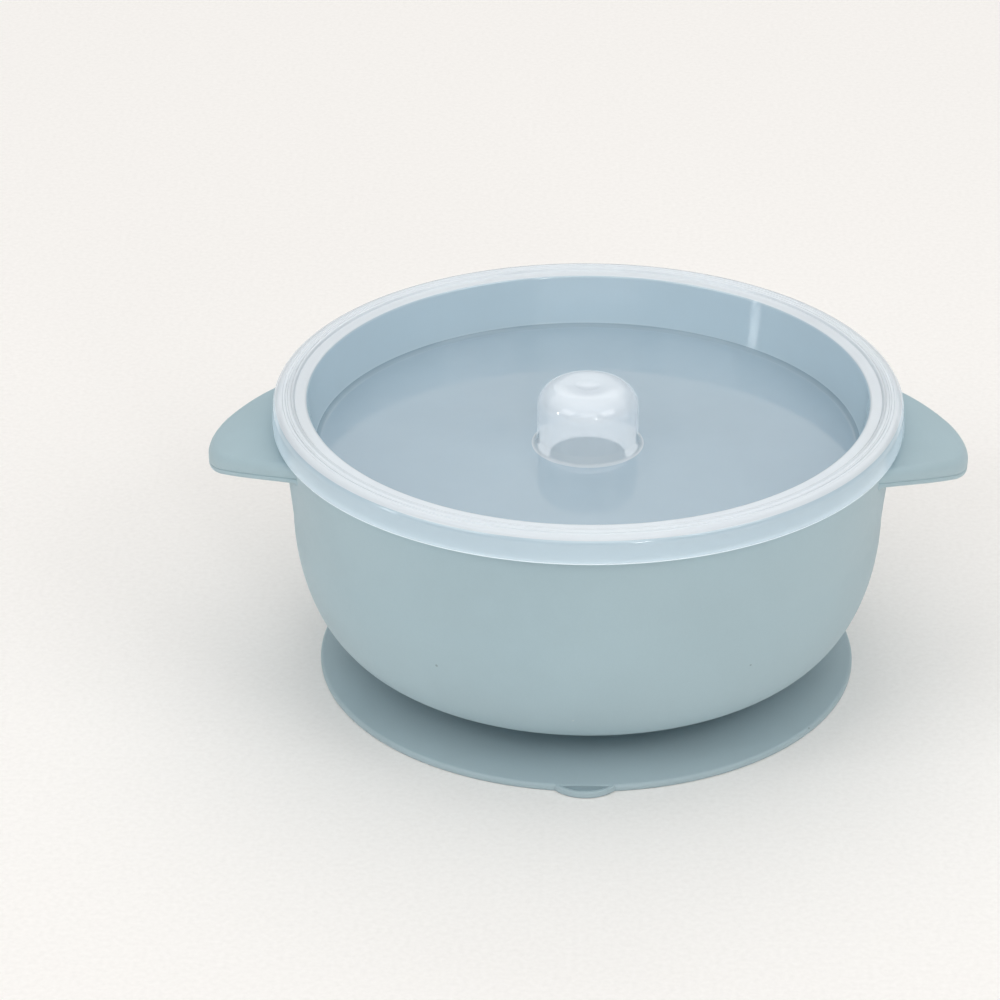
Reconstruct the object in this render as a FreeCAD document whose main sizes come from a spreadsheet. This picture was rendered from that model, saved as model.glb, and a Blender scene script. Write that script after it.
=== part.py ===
import FreeCAD, Part
import math, os, sys

import Sketcher

# Suction bowl for a small child: a soft silicone bowl with two ear tabs, on a
# shallow suction disc with a pull tab, under a milky silicone lid with a
# recessed panel and a hollow dome knob.
#
# Frame: millimetres, +Z up, origin on the bowl's axis in the plane of the
# table.  The ears point along -X and +X, the pull tab points along -Y.

os.makedirs("parts", exist_ok=True)
doc = FreeCAD.newDocument("suction_bowl")
V = FreeCAD.Vector

# ---------------------------------------------------------------- dimensions
DIMS = [
    # suction disc
    ("disc_radius", 55.4), ("disc_edge", 1.5), ("disc_edge_low", 0.5), ("disc_edge_high", 0.7),
    ("seal_inner", 52.4), ("roof_height", 3.0),
    ("crown_height", 4.9), ("crown_radius", 420.0),
    ("tab_chord_y", 55.08),
    # pull tab
    ("tab_gap", 0.05), ("tab_half_width", 5.9), ("tab_reach", 57.9), ("tab_radius", 7.70),
    ("tab_under", 0.1), ("tab_thick", 1.25), ("tab_lip", 0.8), ("tab_scoop", 0.9),
    ("scoop_half_width", 4.9), ("scoop_reach", 57.1), ("scoop_radius", 7.32),
    # bowl
    ("neck_radius", 15.0), ("neck_gap", 0.15), ("neck_fillet", 1.0),
    ("foot_height", 8.6), ("foot_radius", 45.7), ("belly_radius", 60.2), ("belly_height", 36.0),
    ("rim_radius", 62.45), ("rim_height", 59.3), ("wall", 3.15), ("belly_wall", 3.1), ("floor_thick", 3.0),
    # ears
    ("ear_root_x", 62.0), ("ear_top", 54.15), ("ear_slope", 16.5), ("ear_thick", 4.0),
    ("ear_reach", 15.96), ("ear_shoulder_u", 13.04), ("ear_shoulder_y", 9.0), ("ear_root_u", -7.0),
    ("ear_root_y", 23.7), ("ear_side_radius", 45.0), ("ear_tip_radius", 15.3), ("ear_root_radius", 60.0),
    ("ear_fillet_top", 1.5), ("ear_fillet_low", 0.7),
    # lid, rim
    ("skirt_radius", 64.0), ("skirt_low", 55.6), ("skirt_inner", 62.7), ("skirt_edge", 0.4),
    ("shoulder_radius", 63.8), ("shoulder_round", 1.9), ("lid_top", 61.3),
    ("step_outer", 60.3), ("step_inner", 59.9), ("ledge_height", 60.85), ("ledge_round", 0.65),
    ("plug_top_radius", 56.9), ("plug_low_radius", 55.4), ("panel_height", 49.5), ("panel_fillet", 1.3),
    ("channel_roof", 59.5), ("channel_fillet_out", 0.8), ("channel_fillet_in", 0.6), ("channel_inner", 58.4),
    ("plug_outer_low", 56.9), ("plug_corner", 1.2), ("panel_thick", 1.6),
    # lid, knob
    ("knob_radius", 10.3), ("knob_top", 62.55), ("knob_round", 4.65), ("dimple_radius", 2.7),
    ("dimple_depth", 0.35), ("flare_height", 1.7), ("flare_radius", 10.7),
    ("foot_fillet", 0.8), ("hollow_top", 60.2), ("hollow_radius", 8.2), ("hollow_round", 3.6),
    ("hollow_low_radius", 7.9), ("mouth_radius", 7.5), ("mouth_low", 46.7), ("mouth_lip", 11.0),
    ("mouth_taper", 14.0),
]
sheet = doc.addObject("Spreadsheet::Sheet", "Dims")
D = {}
for row, (alias, value) in enumerate(DIMS, start=1):
    sheet.set("A%d" % row, alias)
    sheet.set("B%d" % row, repr(float(value)))
    sheet.setAlias("B%d" % row, alias)
    D[alias] = float(value)
doc.recompute()


def num(text):
    """Value of an expression written with the sheet's aliases."""
    words = text.replace("(", " ( ").replace(")", " ) ").replace("+", " + ").replace("-", " - ")
    words = words.replace("*", " * ").replace("/", " / ").split()
    # small recursive reader: sum of products of cells, numbers and brackets
    def factor(i):
        if words[i] == "-":
            v, i = factor(i + 1)
            return -v, i
        if words[i] == "(":
            v, i = total(i + 1)
            return v, i + 1
        w = words[i]
        return (D[w] if w in D else float(w)), i + 1

    def product(i):
        v, i = factor(i)
        while i < len(words) and words[i] in "*/":
            w, j = factor(i + 1)
            v = v * w if words[i] == "*" else v / w
            i = j
        return v, i

    def total(i):
        v, i = product(i)
        while i < len(words) and words[i] in "+-":
            w, j = product(i + 1)
            v = v + w if words[i] == "+" else v - w
            i = j
        return v, i

    return total(0)[0]


def bound(text):
    """The same expression with each alias pointing at the sheet."""
    out, word = "", ""
    for ch in text + " ":
        if ch.isalnum() or ch == "_":
            word += ch
            continue
        out += ("Dims." + word) if word in D else word
        word = ""
        out += ch
    return out.strip()


def plane(body, role):
    for f in body.Origin.OriginFeatures:
        if f.Role == role:
            return f
    raise RuntimeError("no origin plane " + role)


def drive(sk, idx, name, text):
    sk.renameConstraint(idx, name)
    sk.setExpression("Constraints." + name, bound(text))


def fix_point(sk, geo, pos, x, y, tag):
    """Ties one vertex to the sketch's axes by two driven distances."""
    for axis, text in (("X", x), ("Y", y)):
        if text == "0":
            sk.addConstraint(Sketcher.Constraint("PointOnObject", geo, pos, -2 if axis == "X" else -1))
        else:
            i = sk.addConstraint(Sketcher.Constraint("Distance" + axis, -1, 1, geo, pos, num(text)))
            drive(sk, i, tag + axis.lower(), text)


def arc_through(p, q, r, left):
    """Circular arc from p to q of radius r, bulging to the left or right of the chord."""
    mx, my = (p[0] + q[0]) / 2, (p[1] + q[1]) / 2
    dx, dy = q[0] - p[0], q[1] - p[1]
    c = math.hypot(dx, dy)
    s = math.sqrt(max(r * r - c * c / 4, 0.0))
    nx, ny = -dy / c, dx / c                    # left normal of the chord
    sign = -1.0 if left else 1.0                # centre lies opposite the bulge
    cx, cy = mx + sign * nx * s, my + sign * ny * s
    a0 = math.atan2(p[1] - cy, p[0] - cx)
    a1 = math.atan2(q[1] - cy, q[0] - cx)
    circle = Part.Circle(V(cx, cy, 0), V(0, 0, 1), r)
    if left:      # clockwise from p to q, so the arc is stored from q to p
        return Part.ArcOfCircle(circle, a1, a0 if a0 > a1 else a0 + 2 * math.pi), True
    return Part.ArcOfCircle(circle, a0, a1 if a1 > a0 else a1 + 2 * math.pi), False


def outline(sk, pts, segs):
    """Closed outline: pts is a list of (x, y) expressions, segs gives what leads
    from each vertex to the next: "line", ("left", radius), ("right", radius) or
    ("ellipse", centre x, centre y) for a quarter ellipse with upright axes."""
    n = len(pts)
    xy = [(num(a), num(b)) for a, b in pts]
    ends = []
    for k, seg in enumerate(segs):
        p, q = xy[k], xy[(k + 1) % n]
        if seg == "line":
            g = sk.addGeometry(Part.LineSegment(V(p[0], p[1], 0), V(q[0], q[1], 0)))
            ends.append((g, 1, 2))
        elif seg[0] in ("left", "right"):
            arc, flipped = arc_through(p, q, num(seg[1]), seg[0] == "left")
            g = sk.addGeometry(arc)
            ends.append((g, 2, 1) if flipped else (g, 1, 2))
            i = sk.addConstraint(Sketcher.Constraint("Radius", g, num(seg[1])))
            drive(sk, i, "rad%d" % k, seg[1])
        else:
            cx, cy = num(seg[1]), num(seg[2])
            half_x = max(abs(p[0] - cx), abs(q[0] - cx))
            half_y = max(abs(p[1] - cy), abs(q[1] - cy))
            ell = Part.Ellipse(V(cx, cy + half_y, 0), V(cx - half_x, cy, 0), V(cx, cy, 0))
            up, uq = ell.parameter(V(p[0], p[1], 0)), ell.parameter(V(q[0], q[1], 0))
            forward = (uq - up) % (2 * math.pi) < math.pi
            a, b = (up, uq) if forward else (uq, up)
            if b < a:
                b += 2 * math.pi
            g = sk.addGeometry(Part.ArcOfEllipse(ell, a, b))
            ends.append((g, 1, 2) if forward else (g, 2, 1))
            before = sk.GeometryCount
            sk.exposeInternalGeometry(g)
            sk.addConstraint(Sketcher.Constraint("Vertical", before))     # long axis stands upright
            i = sk.addConstraint(Sketcher.Constraint("DistanceX", -1, 1, g, 3, cx))
            drive(sk, i, "cen%dx" % k, seg[1])
            i = sk.addConstraint(Sketcher.Constraint("DistanceY", -1, 1, g, 3, cy))
            drive(sk, i, "cen%dy" % k, seg[2])
    for k in range(n):
        g, a, _ = ends[k]
        h, _, b = ends[k - 1]
        sk.addConstraint(Sketcher.Constraint("Coincident", h, b, g, a))
        fix_point(sk, g, a, pts[k][0], pts[k][1], "p%d" % k)


def profile(body, name, pts, segs, role="XZ_Plane", offset=None):
    sk = body.newObject("Sketcher::SketchObject", name)
    sk.AttachmentSupport = [(plane(body, role), "")]
    sk.MapMode = "FlatFace"
    if offset is not None:
        sk.AttachmentOffset = offset
    doc.recompute()
    outline(sk, pts, segs)
    doc.recompute()
    return sk


def turned(body, name, sk):
    """Full turn of a half section about the vertical axis."""
    rev = body.newObject("PartDesign::Revolution", name)
    rev.Profile = sk
    rev.ReferenceAxis = (sk, ["V_Axis"])
    rev.Angle = 360.0
    doc.recompute()
    return rev


def new_body(label):
    body = doc.addObject("PartDesign::Body", label)
    body.Label = label
    body.Placement = FreeCAD.Placement(V(0, 0, 0), FreeCAD.Rotation())
    return body


# -------------------------------------------------------------- suction base
# Thin domed membrane: a flat sealing ring rests on the table, the roof behind
# it is hollow, and the crown rises gently to the middle, where the bowl's neck
# is bonded on.
base = new_body("suction_base")
sk = profile(base, "membrane_section", [
    ("0", "roof_height"),
    ("seal_inner", "0"),
    ("disc_radius-disc_edge_low", "0"),
    ("disc_radius", "disc_edge_low"),
    ("disc_radius", "disc_edge-disc_edge_high"),
    ("disc_radius-disc_edge_high", "disc_edge"),
    ("neck_radius", "crown_height"),
    ("0", "crown_height"),
], [
    ("left", "(seal_inner*seal_inner+roof_height*roof_height)/(2*roof_height)"),   # centre on the axis
    "line",
    ("right", "disc_edge_low"),
    "line",
    ("right", "disc_edge_high"),
    ("right", "crown_radius"),
    "line",
    "line",
])
turned(base, "membrane", sk)
solid_volume = base.Shape.Volume
sk = profile(base, "tab_edge", [
    ("0-12", "0-tab_chord_y"), ("12", "0-tab_chord_y"), ("12", "0-tab_chord_y-4"), ("0-12", "0-tab_chord_y-4"),
], ["line", "line", "line", "line"], role="XY_Plane")
cut = base.newObject("PartDesign::Pocket", "tab_flat")
cut.Profile = sk
cut.Type = "ThroughAll"
cut.Midplane = True
doc.recompute()
if not base.Shape.Volume < solid_volume:
    raise RuntimeError("the flat for the pull tab removed nothing")

# ------------------------------------------------------------------ pull tab
# Half-moon lip in front of the sealing ring, scooped on top for a fingertip.
tab = new_body("pull_tab")
lift = FreeCAD.Placement(V(0, 0, D["tab_under"]), FreeCAD.Rotation())
sk = profile(tab, "tab_outline", [
    ("0-tab_half_width", "0-tab_chord_y-tab_gap"),
    ("0", "0-tab_reach"),
    ("tab_half_width", "0-tab_chord_y-tab_gap"),
], [("right", "tab_radius"), ("right", "tab_radius"), "line"], role="XY_Plane", offset=lift)
sk.setExpression("AttachmentOffset.Base.z", bound("tab_under"))
pad = tab.newObject("PartDesign::Pad", "tab_pad")
pad.Profile = sk
pad.Length = D["tab_thick"]
pad.setExpression("Length", bound("tab_thick"))
doc.recompute()
tab_volume = tab.Shape.Volume
top = FreeCAD.Placement(V(0, 0, D["tab_under"] + D["tab_thick"]), FreeCAD.Rotation())
sk = profile(tab, "scoop_outline", [
    ("0-scoop_half_width", "0-tab_chord_y-tab_gap-0.35"),
    ("0", "0-scoop_reach"),
    ("scoop_half_width", "0-tab_chord_y-tab_gap-0.35"),
], [("right", "scoop_radius"), ("right", "scoop_radius"), "line"], role="XY_Plane", offset=top)
sk.setExpression("AttachmentOffset.Base.z", bound("tab_under+tab_thick"))
scoop = tab.newObject("PartDesign::Pocket", "tab_scoop")
scoop.Profile = sk
scoop.Length = D["tab_scoop"]
scoop.setExpression("Length", bound("tab_scoop"))
doc.recompute()
if not tab.Shape.Volume < tab_volume:
    raise RuntimeError("the scoop in the pull tab removed nothing")

# ---------------------------------------------------------------------- bowl
# One moulding: neck, floor, belly and full-round rim turned about the axis,
# with two half-moon ears that slope down from just under the rim.
bowl = new_body("bowl")
sk = profile(bowl, "bowl_section", [
    ("0", "crown_height+neck_gap"),
    ("neck_radius", "crown_height+neck_gap"),
    ("neck_radius", "foot_height-neck_fillet"),
    ("neck_radius+neck_fillet", "foot_height"),
    ("foot_radius", "foot_height"),
    ("belly_radius", "belly_height"),
    ("rim_radius", "rim_height-wall/2"),
    ("rim_radius-wall", "rim_height-wall/2"),
    ("belly_radius-belly_wall", "belly_height"),
    ("foot_radius", "foot_height+floor_thick"),
    ("0", "foot_height+floor_thick"),
], [
    "line",
    "line",
    ("left", "neck_fillet"),
    "line",
    ("ellipse", "foot_radius", "belly_height"),
    "line",
    ("right", "wall/2"),
    "line",
    ("ellipse", "foot_radius", "belly_height"),
    "line",
    "line",
])
turned(bowl, "shell", sk)
shell_volume = bowl.Shape.Volume

tilt = FreeCAD.Placement(V(D["ear_root_x"], 0, D["ear_top"]), FreeCAD.Rotation(V(0, 1, 0), D["ear_slope"]))
sk = profile(bowl, "ear_outline", [
    ("ear_root_u", "0-ear_root_y"),
    ("ear_shoulder_u", "0-ear_shoulder_y"),
    ("ear_reach", "0"),
    ("ear_shoulder_u", "ear_shoulder_y"),
    ("ear_root_u", "ear_root_y"),
], [
    ("right", "ear_side_radius"),
    ("right", "ear_tip_radius"),
    ("right", "ear_tip_radius"),
    ("right", "ear_side_radius"),
    ("left", "ear_root_radius"),
], role="XY_Plane", offset=tilt)
sk.setExpression("AttachmentOffset.Base.x", bound("ear_root_x"))
sk.setExpression("AttachmentOffset.Base.z", bound("ear_top"))
sk.setExpression("AttachmentOffset.Rotation.Angle", bound("ear_slope"))
ear = bowl.newObject("PartDesign::Pad", "ear")
ear.Profile = sk
ear.Length = D["ear_thick"]
ear.Reversed = True
ear.setExpression("Length", bound("ear_thick"))
doc.recompute()
one_ear = bowl.Shape.Volume
if not one_ear > shell_volume + 500:
    raise RuntimeError("the first ear added too little")
pair = bowl.newObject("PartDesign::Mirrored", "ear_pair")
pair.Originals = [ear]
pair.MirrorPlane = (plane(bowl, "YZ_Plane"), [""])
bowl.Tip = pair
doc.recompute()
if not bowl.Shape.Volume > one_ear + 500:
    raise RuntimeError("the second ear added too little")


def ear_edges(shape, low):
    """Edges round the free border of both ears, on the top or the under face."""
    s, c = math.sin(math.radians(D["ear_slope"])), math.cos(math.radians(D["ear_slope"]))
    names = []
    for k, e in enumerate(shape.Edges, start=1):
        pts = [e.valueAt(e.FirstParameter + f * (e.LastParameter - e.FirstParameter)) for f in (0.02, 0.5, 0.98)]
        ok = True
        for p in pts:
            r = math.hypot(p.x, p.y)
            depth = (D["ear_top"] - p.z) * c - (abs(p.x) - D["ear_root_x"]) * s
            want = D["ear_thick"] if low else 0.0
            if r < D["ear_root_x"] - 1.3 or abs(depth - want) > 0.02:
                ok = False
        if ok and math.hypot(pts[1].x, pts[1].y) > D["ear_root_x"] + 0.6:
            names.append("Edge%d" % k)
    return names


feature = pair
for label, low, size in (("ear_round_top", False, "ear_fillet_top"), ("ear_round_low", True, "ear_fillet_low")):
    names = ear_edges(feature.Shape, low)
    print(label, names)
    if not names:
        raise RuntimeError("no ear edges for " + label)
    fil = bowl.newObject("PartDesign::Fillet", label)
    fil.Base = (feature, names)
    fil.Radius = D[size]
    fil.setExpression("Radius", bound(size))
    doc.recompute()
    feature = fil
bowl.Tip = feature
doc.recompute()

# ----------------------------------------------------------------------- lid
# One turned moulding: skirt outside the bowl's rim, stepped top land, plug wall
# inside the rim, recessed flat panel and a hollow dome knob open from below.
lid = new_body("lid")
sk = profile(lid, "lid_section", [
    ("0", "knob_top-dimple_depth"),                                   # 0 dimple
    ("dimple_radius", "knob_top"),
    ("knob_radius-knob_round", "knob_top"),
    ("knob_radius", "knob_top-knob_round"),
    ("knob_radius", "panel_height+flare_height"),
    ("flare_radius", "panel_height+foot_fillet"),                     # 5 knob foot
    ("flare_radius+foot_fillet", "panel_height"),
    ("plug_low_radius-panel_fillet", "panel_height"),
    ("plug_low_radius", "panel_height+panel_fillet"),
    ("plug_top_radius", "ledge_height-ledge_round"),
    ("plug_top_radius+ledge_round", "ledge_height"),                  # 10 ledge
    ("step_inner", "ledge_height"),
    ("step_outer", "lid_top"),
    ("shoulder_radius-shoulder_round", "lid_top"),
    ("shoulder_radius", "lid_top-shoulder_round"),
    ("skirt_radius", "skirt_low+skirt_edge"),                         # 15 skirt
    ("skirt_radius-skirt_edge", "skirt_low"),
    ("skirt_inner", "skirt_low"),
    ("skirt_inner", "channel_roof-channel_fillet_out"),
    ("skirt_inner-channel_fillet_out", "channel_roof"),
    ("channel_inner+channel_fillet_in", "channel_roof"),              # 20 channel
    ("channel_inner", "channel_roof-channel_fillet_in"),
    ("plug_outer_low", "panel_height-panel_thick+plug_corner"),
    ("plug_outer_low-plug_corner", "panel_height-panel_thick"),
    ("mouth_taper", "panel_height-panel_thick"),
    ("mouth_lip", "mouth_low"),                                       # 25 mouth
    ("mouth_radius", "mouth_low"),
    ("hollow_low_radius", "panel_height-0.9"),
    ("hollow_radius", "hollow_top-hollow_round"),
    ("hollow_radius-hollow_round", "hollow_top"),
    ("0", "hollow_top"),                                              # 30
], [
    ("right", "(dimple_radius*dimple_radius+dimple_depth*dimple_depth)/(2*dimple_depth)"),
    "line",
    ("left", "knob_round"),
    "line",
    "line",
    ("right", "foot_fillet"),
    "line",
    ("right", "panel_fillet"),
    "line",
    ("left", "ledge_round"),
    "line",
    "line",
    "line",
    ("left", "shoulder_round"),
    "line",
    ("left", "skirt_edge"),
    "line",
    "line",
    ("right", "channel_fillet_out"),
    "line",
    ("right", "channel_fillet_in"),
    "line",
    ("left", "plug_corner"),
    "line",
    "line",
    "line",
    "line",
    "line",
    ("right", "hollow_round"),
    "line",
    "line",
])
turned(lid, "lid_turned", sk)

# -------------------------------------------------------------------- output
doc.recompute()
for obj in doc.Objects:
    state = [str(w) for w in obj.State]
    if "Invalid" in state or "Error" in state:
        raise RuntimeError("%s is %s" % (obj.Name, state))
    if obj.TypeId == "Sketcher::SketchObject":
        print("sketch", obj.Name, "free", obj.solve(), "dof", getattr(obj, "DoF", None))
for body in (base, tab, bowl, lid):
    shape = body.Shape
    if shape.isNull() or not shape.isValid() or len(shape.Solids) != 1:
        raise RuntimeError("%s has no single valid solid" % body.Label)
    b = shape.BoundBox
    print("%-13s volume %9.1f mm3  x %.2f..%.2f  y %.2f..%.2f  z %.2f..%.2f" % (
        body.Label, shape.Volume, b.XMin, b.XMax, b.YMin, b.YMax, b.ZMin, b.ZMax))
for body in (base, tab, bowl, lid):
    body.Shape.exportStep("parts/%s.step" % body.Label)
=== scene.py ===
import bpy, bmesh, math
import numpy as np
from mathutils import Matrix, Vector


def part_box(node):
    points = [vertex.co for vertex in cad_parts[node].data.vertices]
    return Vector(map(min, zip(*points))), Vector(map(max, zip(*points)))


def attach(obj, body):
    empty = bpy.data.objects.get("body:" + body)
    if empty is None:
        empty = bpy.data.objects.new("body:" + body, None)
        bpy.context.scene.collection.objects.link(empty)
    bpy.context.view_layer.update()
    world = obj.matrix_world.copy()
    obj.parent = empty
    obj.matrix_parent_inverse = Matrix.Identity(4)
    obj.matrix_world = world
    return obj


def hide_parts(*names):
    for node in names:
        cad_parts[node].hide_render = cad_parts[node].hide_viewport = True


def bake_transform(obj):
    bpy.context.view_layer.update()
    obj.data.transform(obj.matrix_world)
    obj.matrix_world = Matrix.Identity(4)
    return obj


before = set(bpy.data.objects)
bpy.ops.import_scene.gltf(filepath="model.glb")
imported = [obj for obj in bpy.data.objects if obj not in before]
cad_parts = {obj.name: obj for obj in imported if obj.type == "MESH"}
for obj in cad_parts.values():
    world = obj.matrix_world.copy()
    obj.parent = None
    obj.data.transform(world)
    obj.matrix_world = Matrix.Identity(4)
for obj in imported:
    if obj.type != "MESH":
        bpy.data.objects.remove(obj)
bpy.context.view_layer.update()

MM = 0.001

# ------------------------------------------------------------------ camera
# The row's origin projects near (586, 653) of a 1000 x 1000 frame.
FOCAL, DIST = 4200.0, 879.534
ELEV, YAW, PITCH, ROLL = 0.5180757, -0.0207755, 0.0363433, 0.0085405


def make_camera():
    e, y, p, r = ELEV, YAW, PITCH, ROLL
    c = np.array([0.0, -DIST * math.cos(e), DIST * math.sin(e)])
    fw = np.array([0.0, math.cos(e), -math.sin(e)])
    right = np.array([1.0, 0.0, 0.0])
    up = np.cross(right, fw)
    fw1 = fw * math.cos(y) + right * math.sin(y)
    r1 = right * math.cos(y) - fw * math.sin(y)
    fw2 = fw1 * math.cos(p) + up * math.sin(p)
    up2 = up * math.cos(p) - fw1 * math.sin(p)
    r3 = r1 * math.cos(r) + up2 * math.sin(r)
    u3 = up2 * math.cos(r) - r1 * math.sin(r)
    data = bpy.data.cameras.new("camera")
    data.sensor_fit = "HORIZONTAL"
    data.sensor_width = 36.0
    data.lens = FOCAL / 1000.0 * 36.0
    data.clip_start, data.clip_end = 0.02, 20.0
    cam = bpy.data.objects.new("camera", data)
    bpy.context.scene.collection.objects.link(cam)
    m = Matrix.Identity(4)
    for k in range(3):
        m[k][0], m[k][1], m[k][2], m[k][3] = r3[k], u3[k], -fw2[k], c[k] * MM
    cam.matrix_world = m
    bpy.context.scene.camera = cam


make_camera()

# ------------------------------------------------------------ mesh helpers


def rounded(points, step=7.0, support=0.22):
    """A half section as a polyline.  points holds (r, z) or (r, z, fillet radius);
    a filleted corner becomes an arc with a point close by on each side, so that
    smooth shading stays tight to the arc."""
    out = []
    n = len(points)
    for k, p in enumerate(points):
        if len(p) == 2 or p[2] <= 0 or k in (0, n - 1):
            out.append((p[0], p[1]))
            continue
        a = np.array(points[k - 1][:2], float)
        b = np.array(p[:2], float)
        c = np.array(points[k + 1][:2], float)
        u, v = (a - b), (c - b)
        lu, lv = np.linalg.norm(u), np.linalg.norm(v)
        u, v = u / lu, v / lv
        turn = math.pi - math.acos(max(-1.0, min(1.0, float(u @ v))))
        if turn < 1e-3:
            out.append((p[0], p[1]))
            continue
        r = p[2]
        t = r * math.tan(turn / 2)
        start, end = b + u * t, b + v * t
        bis = (u + v) / np.linalg.norm(u + v)
        centre = b + bis * (r / math.cos(turn / 2))
        a0 = math.atan2(start[1] - centre[1], start[0] - centre[0])
        a1 = math.atan2(end[1] - centre[1], end[0] - centre[0])
        d = (a1 - a0 + math.pi) % (2 * math.pi) - math.pi
        m = max(3, int(math.ceil(abs(math.degrees(d)) / step)))
        near = min(support, 0.3 * r)
        if lu - t > near * 2.5:
            out.append(tuple(start + u * near))
        for i in range(m + 1):
            q = a0 + d * i / m
            out.append((centre[0] + r * math.cos(q), centre[1] + r * math.sin(q)))
        if lv - t > near * 2.5:
            out.append(tuple(end + v * near))
    return out


def spread(poly, longest):
    """Divides long runs so that no edge of the section is longer than given."""
    out = [poly[0]]
    for a, b in zip(poly[:-1], poly[1:]):
        d = math.hypot(b[0] - a[0], b[1] - a[1])
        m = max(1, int(math.ceil(d / longest)))
        for i in range(1, m + 1):
            out.append((a[0] + (b[0] - a[0]) * i / m, a[1] + (b[1] - a[1]) * i / m))
    return out


def no_repeats(poly, eps=1e-5):
    out = [poly[0]]
    for p in poly[1:]:
        if math.hypot(p[0] - out[-1][0], p[1] - out[-1][1]) > eps:
            out.append(p)
    return out


def lathe(poly, segments, name, bend=None):
    """Turns a half section (mm, from the axis and back to the axis) into a closed mesh."""
    poly = no_repeats(poly)
    assert abs(poly[0][0]) < 1e-9 and abs(poly[-1][0]) < 1e-9
    body = poly[1:-1]
    ang = np.arange(segments) * (2 * math.pi / segments)
    ca, sa = np.cos(ang), np.sin(ang)
    pr = np.array([p[0] for p in body])
    pz = np.array([p[1] for p in body])
    x = pr[:, None] * ca[None, :]
    y = pr[:, None] * sa[None, :]
    z = np.repeat(pz[:, None], segments, axis=1)
    co = np.stack([x, y, z], axis=-1).reshape(-1, 3)
    top = np.array([[0.0, 0.0, poly[0][1]]])
    low = np.array([[0.0, 0.0, poly[-1][1]]])
    co = np.concatenate([co, top, low])
    if bend is not None:
        co = bend(co)
    n = len(body)
    it, ib = n * segments, n * segments + 1
    faces = []
    for i in range(segments):
        j = (i + 1) % segments
        faces.append((it, i, j))
        for k in range(n - 1):
            faces.append((k * segments + i, (k + 1) * segments + i, (k + 1) * segments + j, k * segments + j))
        faces.append((ib, (n - 1) * segments + j, (n - 1) * segments + i))
    return build(name, co, faces)


def build(name, co_mm, faces):
    me = bpy.data.meshes.new(name)
    me.from_pydata([tuple(c * MM for c in p) for p in np.asarray(co_mm).tolist()], [], faces)
    me.validate()
    bm = bmesh.new()
    bm.from_mesh(me)
    bmesh.ops.recalc_face_normals(bm, faces=bm.faces)
    vol = bm.calc_volume(signed=True)
    if vol < 0:
        bmesh.ops.reverse_faces(bm, faces=bm.faces)
    bm.to_mesh(me)
    bm.free()
    ob = bpy.data.objects.new(name, me)
    bpy.context.scene.collection.objects.link(ob)
    return ob


def shade(ob, sharp=38.0):
    ob.data.shade_smooth()
    ob.data.set_sharp_from_angle(angle=math.radians(sharp))


def open_edges(ob):
    bm = bmesh.new()
    bm.from_mesh(ob.data)
    bad = sum(1 for e in bm.edges if len(e.link_faces) != 2)
    vol = bm.calc_volume()
    bm.free()
    return bad, vol * 1e9


def quarter(cx, cy, ax, ay, steps, a0=-90.0, a1=0.0):
    """Points of an ellipse arc about (cx, cy)."""
    return [
        (cx + ax * math.cos(math.radians(a0 + (a1 - a0) * i / steps)),
         cy + ay * math.sin(math.radians(a0 + (a1 - a0) * i / steps)))
        for i in range(steps + 1)
    ]


# -------------------------------------------------------------------- bowl
NECK, FOOT_Z, FOOT_R, BELLY_R, BELLY_Z = 15.0, 8.6, 45.7, 60.2, 36.0
RIM_R, RIM_Z, WALL, BELLY_WALL, FLOOR_Z = 62.45, 59.3, 3.15, 3.1, 11.6
base_lo, base_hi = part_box("suction_base")
bowl_lo, bowl_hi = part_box("bowl")
lid_lo, lid_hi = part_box("lid")
tab_lo, tab_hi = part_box("pull_tab")
NECK_Z = bowl_lo.z / MM


def wall_radius(z):
    return BELLY_R + (z - BELLY_Z) * (RIM_R - BELLY_R) / (RIM_Z - WALL / 2 - BELLY_Z)


def bowl_section():
    p = rounded([(0, NECK_Z), (NECK, NECK_Z, 0.25), (NECK, FOOT_Z, 1.0), (FOOT_R, FOOT_Z)])
    p = spread(p, 4.0)
    p += quarter(FOOT_R, BELLY_Z, BELLY_R - FOOT_R, BELLY_Z - FOOT_Z, 54)[1:]
    zc = RIM_Z - WALL / 2
    p += [(wall_radius(BELLY_Z + f * (zc - BELLY_Z)), BELLY_Z + f * (zc - BELLY_Z)) for f in np.linspace(0, 1, 14)[1:]]
    cx = RIM_R - WALL / 2
    p += [(cx + WALL / 2 * math.cos(a), zc + WALL / 2 * math.sin(a)) for a in np.linspace(0, math.pi, 25)[1:]]
    inner = [(RIM_R - WALL, zc)] + [
        (RIM_R - WALL + f * (BELLY_R - BELLY_WALL - RIM_R + WALL), zc + f * (BELLY_Z - zc)) for f in np.linspace(0, 1, 12)[1:]
    ]
    p += inner[1:]
    p += quarter(FOOT_R, BELLY_Z, BELLY_R - BELLY_WALL - FOOT_R, BELLY_Z - FLOOR_Z, 54)[::-1][1:]
    p += spread([(FOOT_R, FLOOR_Z), (0, FLOOR_Z)], 4.0)[1:]
    return p


# plan outline of an ear (absolute x, half width y) and the arch that its faces follow
EAR = dict(tip=77.4, sx=74.66, sy=9.0, rt=16.15, rx=56.2, ry=22.4, rs=41.0, ax=53.3, az=-0.61, ar=55.0, thick=3.75)


def arc_points(p, q, r, steps):
    """Arc from p to q of radius r that bulges to the right of the chord."""
    p, q = np.array(p, float), np.array(q, float)
    m, d = (p + q) / 2, q - p
    c = np.linalg.norm(d)
    nrm = np.array([-d[1], d[0]]) / c
    ctr = m + nrm * math.sqrt(r * r - c * c / 4)
    a0 = math.atan2(*(p - ctr)[::-1])
    a1 = math.atan2(*(q - ctr)[::-1])
    if a1 < a0:
        a1 += 2 * math.pi
    return [(ctr[0] + r * math.cos(a), ctr[1] + r * math.sin(a)) for a in np.linspace(a0, a1, steps + 1)]


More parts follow.
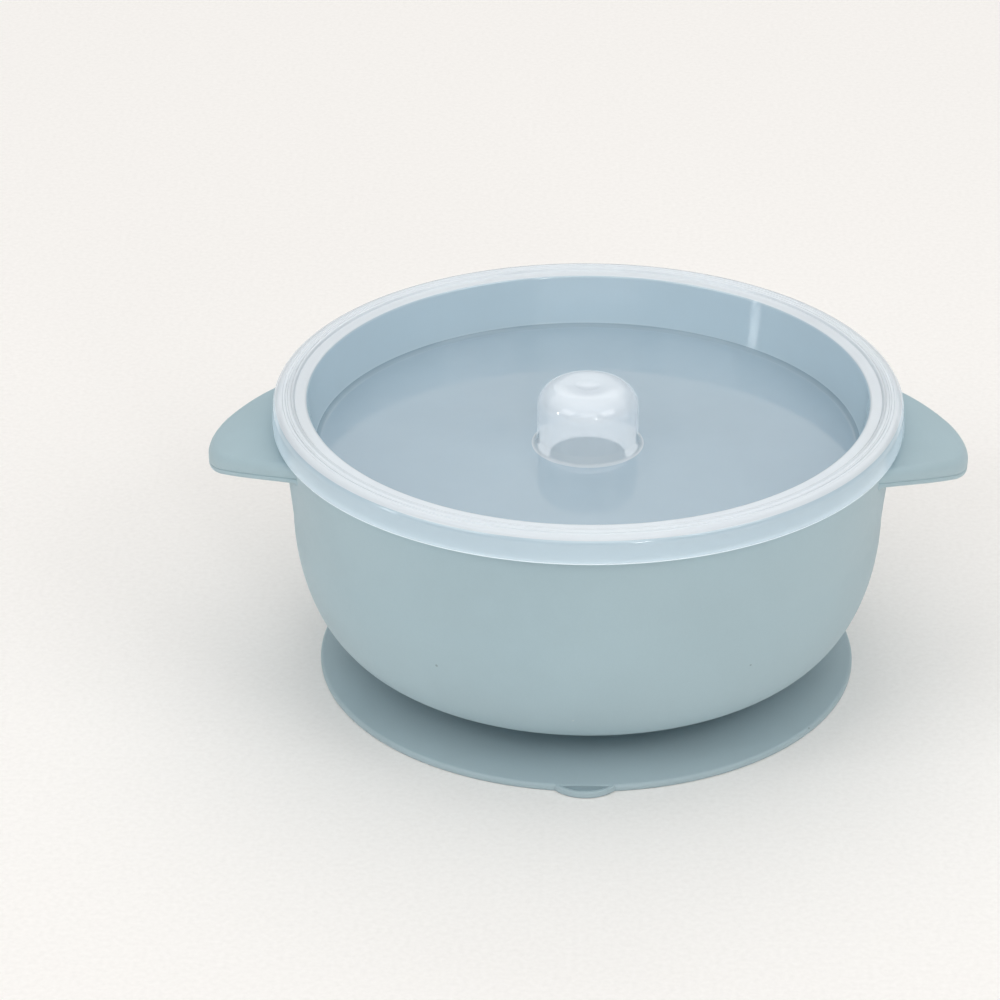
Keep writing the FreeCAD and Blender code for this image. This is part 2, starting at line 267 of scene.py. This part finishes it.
def ear_mesh(name):
    """One ear: a half-moon tongue that arches down away from the rim, with a full
    rounded upper edge, a fine mould parting groove low on its border, a squarer
    lower edge, and a small fillet where it grows out of the wall."""
    E = EAR
    border = arc_points((E["rx"], -E["ry"]), (E["sx"], -E["sy"]), E["rs"], 52)
    border += arc_points((E["sx"], -E["sy"]), (E["tip"], 0), E["rt"], 18)[1:]
    border += arc_points((E["tip"], 0), (E["sx"], E["sy"]), E["rt"], 18)[1:]
    border += arc_points((E["sx"], E["sy"]), (E["rx"], E["ry"]), E["rs"], 52)[1:]
    border = np.array(border)

    def place(x, y, depth):
        return np.stack([x, y, E["az"] + np.sqrt((E["ar"] - depth) ** 2 - (x - E["ax"]) ** 2)], axis=-1)

    def beyond(x, y, depth):
        q = place(x, y, depth)
        return np.hypot(q[..., 0], q[..., 1]) - wall_radius(q[..., 2])

    # the root stops inside the wall, short of its inner face
    border = border[beyond(border[:, 0], border[:, 1], 0.0) > -0.75]
    tan = np.gradient(border, axis=0)
    tan /= np.linalg.norm(tan, axis=1)[:, None]
    inward = np.stack([-tan[:, 1], tan[:, 0]], axis=1)

    # edge section: (distance in from the border, depth below the top face)
    T = E["thick"]
    edge = []
    for a in np.linspace(90, 0, 12):                 # rounded upper edge
        edge.append((1.5 - 1.5 * math.cos(math.radians(a)), 1.5 - 1.5 * math.sin(math.radians(a))))
    edge += [(0.0, 1.9), (0.0, 2.34), (0.03, 2.42), (0.15, 2.46), (0.19, 2.53), (0.17, 2.60), (0.06, 2.65), (0.04, 2.72), (0.04, 3.0)]
    for a in np.linspace(0, 90, 9):                  # lower edge
        edge.append((0.04 + 0.7 - 0.7 * math.cos(math.radians(a)), T - 0.7 + 0.7 * math.sin(math.radians(a))))
    levels = [12.0, 10.0, 8.0, 6.5, 5.2, 4.1, 3.2, 2.5, 1.9, 1.4, 1.0, 0.8, 0.62, 0.47, 0.34, 0.23, 0.15, 0.08, -0.5, -1.6]
    n = len(border)

    def rows(depth, d_edge):
        """Rings from the edge's rounding in towards the wall, on one face."""
        start = border + inward * d_edge
        aim = np.stack([np.full(n, 54.0), border[:, 1] * 0.86], axis=1)
        way = aim - start
        s = np.linspace(0, 1, 241)
        pts = start[:, None, :] + way[:, None, :] * s[None, :, None]
        out = beyond(pts[..., 0], pts[..., 1], depth)
        got = []
        first = out[:, 0]
        for k, lev in enumerate(levels):
            want = np.minimum(lev, first - 0.05 * (k + 1))
            row = np.zeros((n, 2))
            for i in range(n):
                o = out[i]
                w = max(want[i], o[-1] + 0.02 * (len(levels) - k))
                idx = int(np.argmax(o <= w))
                if idx == 0:
                    f = min(1.0, 0.02 * (k + 1))
                else:
                    f = s[idx - 1] + (s[idx] - s[idx - 1]) * (o[idx - 1] - w) / max(1e-9, o[idx - 1] - o[idx])
                row[i] = start[i] + way[i] * f
            got.append(row)
        return got

    FR = 0.9

    def flare(d):
        d = np.clip(d, 0.09, FR)
        return FR - np.sqrt(np.maximum(0.0, FR * FR - (FR - d) ** 2))

    rings = []
    for row in rows(0.0, 1.5)[::-1]:
        h = flare(beyond(row[:, 0], row[:, 1], 0.0))
        rings.append(place(row[:, 0], row[:, 1], -h))
    for d, dep in edge:
        uv = border + inward * d
        side = np.interp(dep, [0, T], [0, 1])
        h = flare(beyond(uv[:, 0], uv[:, 1], dep)) * (2 * side - 1) * (1.0 if dep < 0.5 or dep > T - 0.5 else 0.0)
        rings.append(place(uv[:, 0], uv[:, 1], dep + h))
    for row in rows(T, 0.74):
        h = flare(beyond(row[:, 0], row[:, 1], T))
        rings.append(place(row[:, 0], row[:, 1], T + h))
    rings = np.array(rings)
    m = len(rings)
    co = rings.reshape(-1, 3)
    faces = []
    for k in range(m):
        j = (k + 1) % m
        for i in range(n - 1):
            faces.append((k * n + i, k * n + i + 1, j * n + i + 1, j * n + i))
    faces.append(tuple(k * n for k in range(m)))
    faces.append(tuple(k * n + n - 1 for k in range(m))[::-1])
    return build(name, co, faces)


def join_solids(main, others, name):
    """Union of closed meshes, applied to a new mesh."""
    for o in others:
        mod = main.modifiers.new("union", "BOOLEAN")
        mod.operation = "UNION"
        mod.solver = "EXACT"
        mod.object = o
    dg = bpy.context.evaluated_depsgraph_get()
    me = bpy.data.meshes.new_from_object(main.evaluated_get(dg))
    me.name = name
    bm = bmesh.new()                          # the union leaves a few collapsed triangles
    bm.from_mesh(me)
    bmesh.ops.remove_doubles(bm, verts=bm.verts, dist=1e-6)
    bmesh.ops.dissolve_degenerate(bm, dist=1e-6, edges=bm.edges)
    bm.to_mesh(me)
    bm.free()
    made = bpy.data.objects.new(name, me)
    bpy.context.scene.collection.objects.link(made)
    for o in [main] + list(others):
        bpy.data.objects.remove(o)
    return made


shell = lathe(bowl_section(), 384, "bowl_shell")
ear_r = ear_mesh("ear_r")
ear_l = ear_mesh("ear_l")
flip = Matrix.Diagonal((-1.0, 1.0, 1.0, 1.0))
ear_l.data.transform(flip)
ear_l.data.flip_normals()
bowl = join_solids(shell, [ear_r, ear_l], "bowl_with_ears")
shade(bowl, 30.0)

# ------------------------------------------------------------ suction disc
DISC_R, CROWN_Z, CROWN_ARC, ROOF, SEAL = 55.4, 4.9, 420.0, 3.0, 52.4
CHORD = 55.08


def disc_section():
    r_edge, z_edge = DISC_R - 0.7, 1.5
    # crown: arc of 420 mm from the neck to the edge, sampled
    a, b = np.array([NECK, CROWN_Z]), np.array([r_edge, z_edge])
    m, d = (a + b) / 2, b - a
    c = np.linalg.norm(d)
    nrm = np.array([-d[1], d[0]]) / c
    if nrm[1] < 0:
        nrm = -nrm
    ctr = m - nrm * math.sqrt(CROWN_ARC ** 2 - c * c / 4)
    crown = []
    for f in np.linspace(0, 1, 26):
        x = a[0] + (b[0] - a[0]) * f
        crown.append((x, ctr[1] + math.sqrt(CROWN_ARC ** 2 - (x - ctr[0]) ** 2)))
    p = spread([(0, CROWN_Z), (NECK, CROWN_Z)], 3.0)[:-1] + crown
    p += [(r_edge - 0.0, z_edge)]
    for q in np.linspace(90, 0, 13):
        p.append((DISC_R - 0.7 + 0.7 * math.cos(math.radians(q)), 1.5 - 0.7 + 0.7 * math.sin(math.radians(q))))
    for q in np.linspace(0, -90, 9):
        p.append((DISC_R - 0.5 + 0.5 * math.cos(math.radians(q)), 0.5 + 0.5 * math.sin(math.radians(q))))
    p += [(SEAL + 0.25, 0.0)]
    R = (SEAL * SEAL + ROOF * ROOF) / (2 * ROOF)
    for f in np.linspace(0, 1, 34):
        x = (SEAL - 0.15) * (1 - f)
        p.append((x, ROOF - R + math.sqrt(R * R - x * x)))
    return no_repeats(p, 1e-4)


def flatten_front(co):
    """The edge is cut straight where the pull tab grows out of it."""
    front = (co[:, 1] < -CHORD) & (np.abs(co[:, 0]) < 8)
    co[front, 1] = -CHORD
    return co


disc = lathe(disc_section(), 720, "suction_membrane", bend=flatten_front)
shade(disc, 30.0)

# ---------------------------------------------------------------- pull tab


def tab_mesh():
    """Half-moon finger lip: a U-shaped raised border round a scooped floor, whose
    root runs back under the disc's edge."""
    reach, half, y0 = 57.9, 5.9, 55.13
    h = reach - y0
    R = (half * half + h * h) / (2 * h)
    cy = -(reach - R)
    a0 = math.asin(half / R)
    n = 96
    t = np.linspace(-a0, a0, n)
    bx, by = R * np.sin(t), cy - R * np.cos(t)
    nx, ny = -np.sin(t), np.cos(t)            # inward
    # section from the root inwards-out: (distance in from the border, height)
    top, floor_z, under = 1.45, 0.28, 0.10
    sec = [(0.30, under)]
    for a in np.linspace(-90, 0, 6):
        sec.append((0.30 - 0.30 * math.cos(math.radians(a)), under + 0.30 + 0.30 * math.sin(math.radians(a))))
    for a in np.linspace(0, 90, 8):
        sec.append((0.36 - 0.36 * math.cos(math.radians(a)), top - 0.36 + 0.36 * math.sin(math.radians(a))))
    for a in np.linspace(90, 12, 7):
        sec.append((0.62 + 0.24 * math.cos(math.radians(a)), top - 0.24 + 0.24 * math.sin(math.radians(a))))
    for a in np.linspace(192, 270, 7):
        sec.append((1.14 + 0.26 * math.cos(math.radians(a)), floor_z + 0.26 + 0.26 * math.sin(math.radians(a))))
    sec = no_repeats(sec, 1e-4)
    rings = []
    root_y = -54.55

    def ring(d, z):
        x, y = bx + nx * d, by + ny * d
        return np.stack([x, np.minimum(y, root_y), np.full(n, z)], axis=-1)

    for d, z in sec:
        rings.append(ring(d, z))
    last_top = rings[-1].copy()
    first_low = rings[0].copy()
    for f in (0.2, 0.4, 0.6, 0.8, 1.0):          # scooped floor back to the root
        q = last_top.copy()
        q[:, 1] = last_top[:, 1] + (root_y - last_top[:, 1]) * f
        q[:, 2] = floor_z - 0.10 * math.sin(math.pi * min(1.0, f * 0.9))
        rings.append(q)
    low = []
    for f in (1.0, 0.5):
        q = first_low.copy()
        q[:, 1] = first_low[:, 1] + (root_y - first_low[:, 1]) * f
        low.append(q)
    rings = rings + low
    rings = np.array(rings)
    m = len(rings)
    faces = []
    for k in range(m):
        j = (k + 1) % m
        for i in range(n - 1):
            faces.append((k * n + i, k * n + i + 1, j * n + i + 1, j * n + i))
    faces.append(tuple(k * n for k in range(m)))
    faces.append(tuple(k * n + n - 1 for k in range(m))[::-1])
    return build("pull_tab_lip", rings.reshape(-1, 3), faces)


tab = tab_mesh()
shade(tab, 34.0)

# --------------------------------------------------------------------- lid
PANEL_Z, LID_TOP = 49.5, 61.3


def sphere_dish(r, depth, z, steps):
    """Shallow round dimple from the axis out to r."""
    R = (r * r + depth * depth) / (2 * depth)
    zc = z - depth + R
    return [(r * k / steps, zc - math.sqrt(R * R - (r * k / steps) ** 2)) for k in range(steps + 1)]


def lid_section():
    dimple = sphere_dish(2.7, 0.35, 62.55, 8)
    pts = [
        dimple[-1],
        (10.3, 62.55, 4.65),
        (10.3, PANEL_Z + 1.7, 0.9),
        (10.75, PANEL_Z + 0.05, 0.0),
    ]
    out = dimple[:-1]
    # knob, its slightly flared foot and a small fillet into the panel
    knob = rounded([(2.7, 62.55), (10.3, 62.55, 4.65), (10.3, 51.4, 1.6), (10.75, 49.5, 0.62), (13.0, 49.5)])
    out += knob
    out = out[:-1]
    rest = rounded([
        (13.0, 49.5),
        (55.4, 49.5, 1.3),
        (56.9, 60.85, 0.65),
        (59.40, 60.85, 0.16),
        (59.66, 61.32, 0.14),
        (59.98, 61.46, 0.13),
        (60.30, 61.20, 0.16),
        (60.75, 61.12, 0.10),
        (60.92, 61.28, 0.08),
        (61.20, 61.28, 0.08),
        (61.36, 61.08, 0.08),
        (61.78, 61.06, 0.08),
        (61.95, 61.22, 0.08),
        (62.25, 61.18, 0.10),
        (63.8, 61.05, 1.75),
        (63.82, 59.0, 6.0),
        (64.0, 56.4, 2.0),
        (64.0, 55.62, 0.34),
        (62.7, 55.6, 0.34),
        (62.7, 59.5, 0.8),
        (58.4, 59.5, 0.6),
        (56.9, 47.9, 1.2),
        (14.0, 47.9, 0.8),
        (11.0, 46.7, 0.6),
        (7.5, 46.7, 0.5),
        (7.9, 48.6, 1.0),
        (8.2, 60.2, 3.6),
        (0.0, 60.2),
    ])
    # the root of the knob, under the panel, in finer steps
    for a, b in zip(rest[:-1], rest[1:]):
        fine = max(a[0], b[0]) < 14.3 and max(a[1], b[1]) < 48.0
        out += spread([a, b], 0.4 if fine else 3.0)[:-1]
    out.append(rest[-1])
    return no_repeats(out, 1e-4)


lid = lathe(lid_section(), 384, "lid_cover")
shade(lid, 32.0)

# ------------------------------------------------------------- materials


def lin(c):
    c = c / 255.0
    return c / 12.92 if c <= 0.04045 else ((c + 0.055) / 1.055) ** 2.4


def rgb(r, g, b):
    return (lin(r), lin(g), lin(b), 1.0)


class Nodes:
    """Short hand for node trees."""

    def __init__(self, name):
        self.mat = bpy.data.materials.new(name)
        self.mat.use_nodes = True
        self.t = self.mat.node_tree
        self.t.nodes.clear()
        self.out = self.t.nodes.new("ShaderNodeOutputMaterial")
        self.at = self.t.nodes.new("ShaderNodeTexCoord").outputs["Object"]

    def link(self, a, b):
        self.t.links.new(a, b)

    def noise(self, scale, detail=3.0, rough=0.5, at=None, distortion=0.0):
        n = self.t.nodes.new("ShaderNodeTexNoise")
        n.inputs["Scale"].default_value = scale
        n.inputs["Detail"].default_value = detail
        n.inputs["Roughness"].default_value = rough
        n.inputs["Distortion"].default_value = distortion
        self.link(at or self.at, n.inputs["Vector"])
        return n.outputs["Fac"]

    def cells(self, scale, at=None):
        n = self.t.nodes.new("ShaderNodeTexVoronoi")
        n.inputs["Scale"].default_value = scale
        self.link(at or self.at, n.inputs["Vector"])
        return n.outputs["Distance"], n.outputs["Color"]

    def span(self, value, a, b, c, d, smooth=False):
        n = self.t.nodes.new("ShaderNodeMapRange")
        n.clamp = True
        if smooth:
            n.interpolation_type = "SMOOTHSTEP"
        self.link(value, n.inputs["Value"])
        for key, v in zip(("From Min", "From Max", "To Min", "To Max"), (a, b, c, d)):
            n.inputs[key].default_value = v
        return n.outputs["Result"]

    def math(self, op, a, b=None):
        n = self.t.nodes.new("ShaderNodeMath")
        n.operation = op
        for k, v in enumerate((a, b)):
            if v is None:
                continue
            if isinstance(v, (int, float)):
                n.inputs[k].default_value = v
            else:
                self.link(v, n.inputs[k])
        return n.outputs[0]

    def mix(self, fac, a, b):
        n = self.t.nodes.new("ShaderNodeMix")
        n.data_type = "RGBA"
        if isinstance(fac, (int, float)):
            n.inputs[0].default_value = fac
        else:
            self.link(fac, n.inputs[0])
        for k, v in ((6, a), (7, b)):
            if isinstance(v, tuple):
                n.inputs[k].default_value = v
            else:
                self.link(v, n.inputs[k])
        return n.outputs[2]

    def stretch(self, x, y, z):
        n = self.t.nodes.new("ShaderNodeMapping")
        n.inputs["Scale"].default_value = (x, y, z)
        self.link(self.at, n.inputs["Vector"])
        return n.outputs["Vector"]

    def split(self):
        n = self.t.nodes.new("ShaderNodeSeparateXYZ")
        self.link(self.at, n.inputs[0])
        return n.outputs

    def bump(self, height, strength, distance, normal=None):
        n = self.t.nodes.new("ShaderNodeBump")
        n.inputs["Strength"].default_value = strength
        n.inputs["Distance"].default_value = distance
        self.link(height, n.inputs["Height"])
        if normal is not None:
            self.link(normal, n.inputs["Normal"])
        return n.outputs[0]

    def principled(self, **values):
        n = self.t.nodes.new("ShaderNodeBsdfPrincipled")
        for key, v in values.items():
            n.inputs[key.replace("_", " ")].default_value = v
        self.link(n.outputs[0], self.out.inputs["Surface"])
        return n


def silicone(name, base, dust_seed, grain=1.0):
    """Satin pigmented silicone: even colour with a slight mottle, a very fine matt
    grain, uneven sheen from handling, and a few specks of dust that it holds."""
    m = Nodes(name)
    b = rgb(*base)
    light = tuple(min(1.0, c * 1.022) for c in b[:3]) + (1.0,)
    dark = tuple(c * 0.972 for c in b[:3]) + (1.0,)
    warm = (b[0] * 1.02, b[1] * 1.0, b[2] * 0.985, 1.0)
    mottle = m.span(m.noise(38.0, 4.0, 0.55), 0.34, 0.66, 0.0, 1.0, True)
    colour = m.mix(mottle, dark, light)
    drift = m.span(m.noise(13.0, 2.0), 0.38, 0.66, 0.0, 0.55, True)
    colour = m.mix(drift, colour, warm)
    grit = m.span(m.noise(2600.0, 2.0, 0.6), 0.3, 0.7, 0.0, 0.10)
    colour = m.mix(grit, colour, tuple(c * 0.80 for c in b[:3]) + (1.0,))
    # dust: rare small cells, pale or dark
    shift = m.t.nodes.new("ShaderNodeMapping")
    shift.inputs["Location"].default_value = (dust_seed, dust_seed * 0.7, dust_seed * 1.3)
    m.link(m.at, shift.inputs["Vector"])
    dist, pick = m.cells(260.0, shift.outputs["Vector"])
    sep = m.t.nodes.new("ShaderNodeSeparateColor")
    m.link(pick, sep.inputs[0])
    chosen = m.span(sep.outputs[0], 0.955, 0.957, 0.0, 1.0)
    size = m.span(sep.outputs[1], 0.0, 1.0, 0.035, 0.085)
    dot = m.math("LESS_THAN", dist, size)
    speck = m.math("MULTIPLY", chosen, dot)
    tone = m.mix(m.span(sep.outputs[2], 0.35, 0.36, 0.0, 1.0), rgb(205, 214, 214), rgb(92, 108, 114))
    colour = m.mix(m.math("MULTIPLY", speck, 0.45), colour, tone)
    p = m.principled(IOR=1.43, Sheen_Weight=0.12, Sheen_Roughness=0.5, Specular_IOR_Level=0.42)
    m.link(colour, p.inputs["Base Color"])
    worn = m.span(m.noise(24.0, 5.0, 0.6, distortion=0.4), 0.35, 0.68, 0.47, 0.60, True)
    fine = m.span(m.noise(700.0, 3.0), 0.3, 0.7, -0.03, 0.03)
    m.link(m.math("ADD", worn, fine), p.inputs["Roughness"])
    wave = m.bump(m.noise(55.0, 2.0), 0.25, 0.0004)
    m.link(m.bump(m.noise(3200.0, 3.0, 0.6), 0.22 * grain, 0.00012, wave), p.inputs["Normal"])
    return m.mat


def milky(name, base, alpha, rough, ior, glow=0.0, haze=0.02, lit=0.0):
    """Translucent unpigmented silicone: milk-white with a cold cast, slightly uneven
    in density, glossy with faint flow marks and smears. lit is a painted glow: an
    emission in the base colour that stands in for the light that scatters about inside the milky wall."""
    m = Nodes(name)
    b = rgb(*base)
    dens = m.span(m.noise(30.0, 4.0, 0.6), 0.32, 0.68, 0.0, 1.0, True)
    colour = m.mix(dens, tuple(c * (1 - haze) for c in b[:3]) + (1.0,), tuple(min(1.0, c * (1 + haze)) for c in b[:3]) + (1.0,))
    grit = m.span(m.noise(1500.0, 3.0, 0.6), 0.35, 0.65, 0.0, 0.06)
    colour = m.mix(grit, colour, tuple(c * 0.9 for c in b[:3]) + (1.0,))
    p = m.principled(IOR=ior, Alpha=alpha, Subsurface_Weight=glow, Subsurface_Scale=0.006)
    p.inputs["Subsurface Radius"].default_value = (0.9, 1.0, 1.1)
    # painted glow: emission in the base colour in place of light scattered inside the wall
    if lit:
        p.inputs["Emission Color"].default_value = b
        p.inputs["Emission Strength"].default_value = lit
    m.link(colour, p.inputs["Base Color"])
    smear = m.span(m.noise(26.0, 5.0, 0.62, at=m.stretch(1.0, 0.35, 1.0), distortion=0.8), 0.34, 0.70, rough - 0.05, rough + 0.07, True)
    m.link(smear, p.inputs["Roughness"])
    wave = m.bump(m.noise(42.0, 2.0), 0.3, 0.0004)
    m.link(m.bump(m.noise(1800.0, 2.0), 0.10, 0.00008, wave), p.inputs["Normal"])
    return m.mat


bowl_mat = silicone("bowl_silicone", (173, 197, 206), 0.31)
base_mat = silicone("base_silicone", (173, 194, 202), 1.77)
# The lid is one milky silicone, split here into copies whose tone, density and emission are set to paint the light and
# shade each region takes: a lighter tone on the land at the top, painted glow on the skirt, edge, wall, knob, core and
# lip, and painted shade in the crease.
LID_MATS = {
    "land": milky("lid_silicone_land", (240, 247, 254), 0.76, 0.17, 1.60),
    "skirt": milky("lid_silicone_skirt", (212, 233, 246), 0.66, 0.14, 1.85, lit=0.05),
    # edge: whiter, denser and emissive, a painted glow along the thin bottom edge of the skirt
    "edge": milky("lid_silicone_glowing_edge", (234, 246, 255), 0.84, 0.18, 1.60, lit=0.22),
    # wall: painted glow that lightens the inner wall
    "wall": milky("lid_silicone_wall", (216, 236, 248), 0.62, 0.09, 2.20, lit=0.13),
    # crease: a darker copy that paints the shade in the fillet round the panel
    "crease": milky("lid_silicone_crease", (190, 214, 230), 0.46, 0.14, 1.80),
    "panel": milky("lid_silicone_panel", (208, 230, 247), 0.44, 0.09, 2.10),
    # knob, core and lip: painted glow from emission, standing in for the light scattered through the thick milky knob
    "knob": milky("lid_silicone_knob", (227, 234, 241), 0.45, 0.12, 2.10, lit=0.19),
    "core": milky("lid_silicone_core", (234, 240, 246), 0.22, 0.30, 1.45, lit=0.36),
    "lip": milky("lid_silicone_lip", (236, 240, 243), 0.70, 0.30, 1.45, lit=0.30),
    "under": milky("lid_silicone_under", (228, 242, 254), 0.14, 0.25, 1.60),
}

bowl.data.materials.clear()
bowl.data.materials.append(bowl_mat)
disc.data.materials.append(base_mat)
tab.data.materials.append(base_mat)
order = list(LID_MATS)
for key in order:
    lid.data.materials.append(LID_MATS[key])


def within_root(r, y, z):
    """True for the part of the root's underside that lies under the knob's foot."""
    x2 = max(0.0, r * r - y * y)
    v = (z - 49.5) * 0.866 + 0.5 * y
    if v >= 0.0:
        return y > 0.0 and x2 < 9.9 ** 2
    return x2 / 10.3 ** 2 + v * v / 5.1 ** 2 < 1.0


def lid_region(r, z, nr, nz, y):
    """Which kind of wall a face of the lid belongs to, from where it is and faces; each kind is a copy of the lid
    silicone that carries its own share of painted glow and painted shade.
    """
    # knob, core and lip faces get the painted glow copies
    if r < 11.6 and z > 49.3 and (r > 8.5 or z > 61.0):
        return "knob"
    if r < 8.5 and (z > 50.2 or nz < -0.9 and z > 47.0):
        return "core"
    if z < 50.2 and nz < 0.3 and (y > -0.8 if r < 8.5 else r < 14.2 and within_root(r, y, z)):
        return "lip"
    if r < 8.5:
        return "core"
    if r < 11.6:
        return "under"
    if z > 60.7:
        return "land"
    # faces along the skirt's bottom edge get the painted glow copy
    if r > 63.2:
        return "land" if z > 60.6 else "edge" if z < 55.95 else "skirt"
    if z < 55.75 and r > 62.0:
        return "edge"
    # the fillet round the panel gets the painted shade copy
    if 54.7 < r < 56.0 and z < 50.4 and nr < 0.2 and nz > -0.3:
        return "crease"
    if r < 54.7:
        return "panel" if nz > 0.3 else "under"
    if r < 57.8 and nr < 0.2 and nz > -0.3 and z < 60.8:
        return "wall"
    return "under"


for poly in lid.data.polygons:
    c, nn = poly.center, poly.normal
    r, z = math.hypot(c.x, c.y) / MM, c.z / MM
    nr = (nn.x * c.x + nn.y * c.y) / max(1e-9, math.hypot(c.x, c.y))
    poly.material_index = order.index(lid_region(r, z, nr, nn.z, c.y / MM))

# ------------------------------------------------------------------ riding
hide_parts("bowl")
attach(bowl, "bowl")
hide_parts("lid")
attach(lid, "lid")
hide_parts("suction_base")
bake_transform(disc)
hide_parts("pull_tab")
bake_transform(tab)

# ------------------------------------------------------------------- stage


def floor():
    me = bpy.data.meshes.new("floor")
    s = 6.0
    me.from_pydata([(-s, -s, 0), (s, -s, 0), (s, s, 0), (-s, s, 0)], [], [(0, 1, 2, 3)])
    ob = bpy.data.objects.new("floor", me)
    bpy.context.scene.collection.objects.link(ob)
    m = Nodes("floor_paper")
    grain = m.span(m.noise(900.0, 4.0, 0.6), 0.3, 0.7, 0.0, 1.0)
    colour = m.mix(grain, rgb(246, 244, 242), rgb(253, 251, 249))
    p = m.principled(Roughness=0.75, IOR=1.4)
    m.link(colour, p.inputs["Base Color"])
    m.link(m.bump(m.noise(1100.0, 3.0), 0.08, 0.0002), p.inputs["Normal"])
    ob.data.materials.append(m.mat)
    return ob


floor()


def area(name, where, aim, size, power, colour=(1, 1, 1), shape="RECTANGLE", size_y=None):
    d = bpy.data.lights.new(name, "AREA")
    d.shape = shape
    d.size = size
    if size_y is not None and shape in ("RECTANGLE", "ELLIPSE"):
        d.size_y = size_y
    d.energy = power
    d.color = colour
    o = bpy.data.objects.new(name, d)
    bpy.context.scene.collection.objects.link(o)
    o.location = where
    o.rotation_mode = "QUATERNION"
    o.rotation_quaternion = (Vector(aim) - Vector(where)).to_track_quat("-Z", "Y")
    return o


area("top_soft", (0.0, 0.2, 2.2), (0, 0, 0), 2.0, 3.4, (1.0, 0.985, 0.965), size_y=2.0)
area("front_soft", (0.05, -1.9, 1.54), (0, 0, 0.03), 1.5, 5.4, (1.0, 0.995, 0.985), size_y=0.8)
area("left_soft", (-1.5, -1.1, 1.4), (0, 0, 0.03), 1.2, 6.4, (1.0, 0.99, 0.975), size_y=0.9)
area("right_soft", (1.5, -1.1, 1.4), (0, 0, 0.03), 1.2, 7.4, (1.0, 0.99, 0.975), size_y=0.9)
area("back_wash", (0.2, 2.2, 1.7), (0, 0.3, 0.0), 2.2, 8.8, (1.0, 0.985, 0.965), size_y=1.2)
area("strip_right", (0.60, -1.75, 0.60), (0, 0, 0.05), 0.12, 2.4, (1.0, 0.99, 0.97), size_y=0.36)
area("window_left", (-1.88, -0.58, 0.60), (0, 0, 0.05), 0.14, 2.2, (0.95, 0.98, 1.0), size_y=0.36)

# a pale studio round the table: the far ground is light, the walls are dim and
# the ceiling is bright
world = bpy.data.worlds.new("studio")
bpy.context.scene.world = world
world.use_nodes = True
wt = world.node_tree
bg = wt.nodes["Background"]
way = wt.nodes.new("ShaderNodeTexCoord")
cut = wt.nodes.new("ShaderNodeSeparateXYZ")
wt.links.new(way.outputs["Generated"], cut.inputs[0])
parts = []
for lo, hi, a0, a1 in ((0.3, 0.8, 0.0, 0.96), (0.0, 0.08, 0.80, 0.0)):
    ramp = wt.nodes.new("ShaderNodeMapRange")
    wt.links.new(cut.outputs[2], ramp.inputs["Value"])
    for key, v in zip(("From Min", "From Max", "To Min", "To Max"), (lo, hi, a0, a1)):
        ramp.inputs[key].default_value = v
    parts.append(ramp.outputs["Result"])
add = wt.nodes.new("ShaderNodeMath")
add.operation = "ADD"
wt.links.new(parts[0], add.inputs[0])
wt.links.new(parts[1], add.inputs[1])
wt.links.new(add.outputs[0], bg.inputs["Strength"])
bg.inputs["Color"].default_value = (1.0, 0.985, 0.965, 1.0)
bpy.context.scene.view_settings.view_transform = "Standard"
bpy.context.scene.view_settings.look = "None"

for ob in (bowl, lid, disc, tab):
    print(ob.name, "faces", len(ob.data.polygons), "open edges and volume", open_edges(ob))
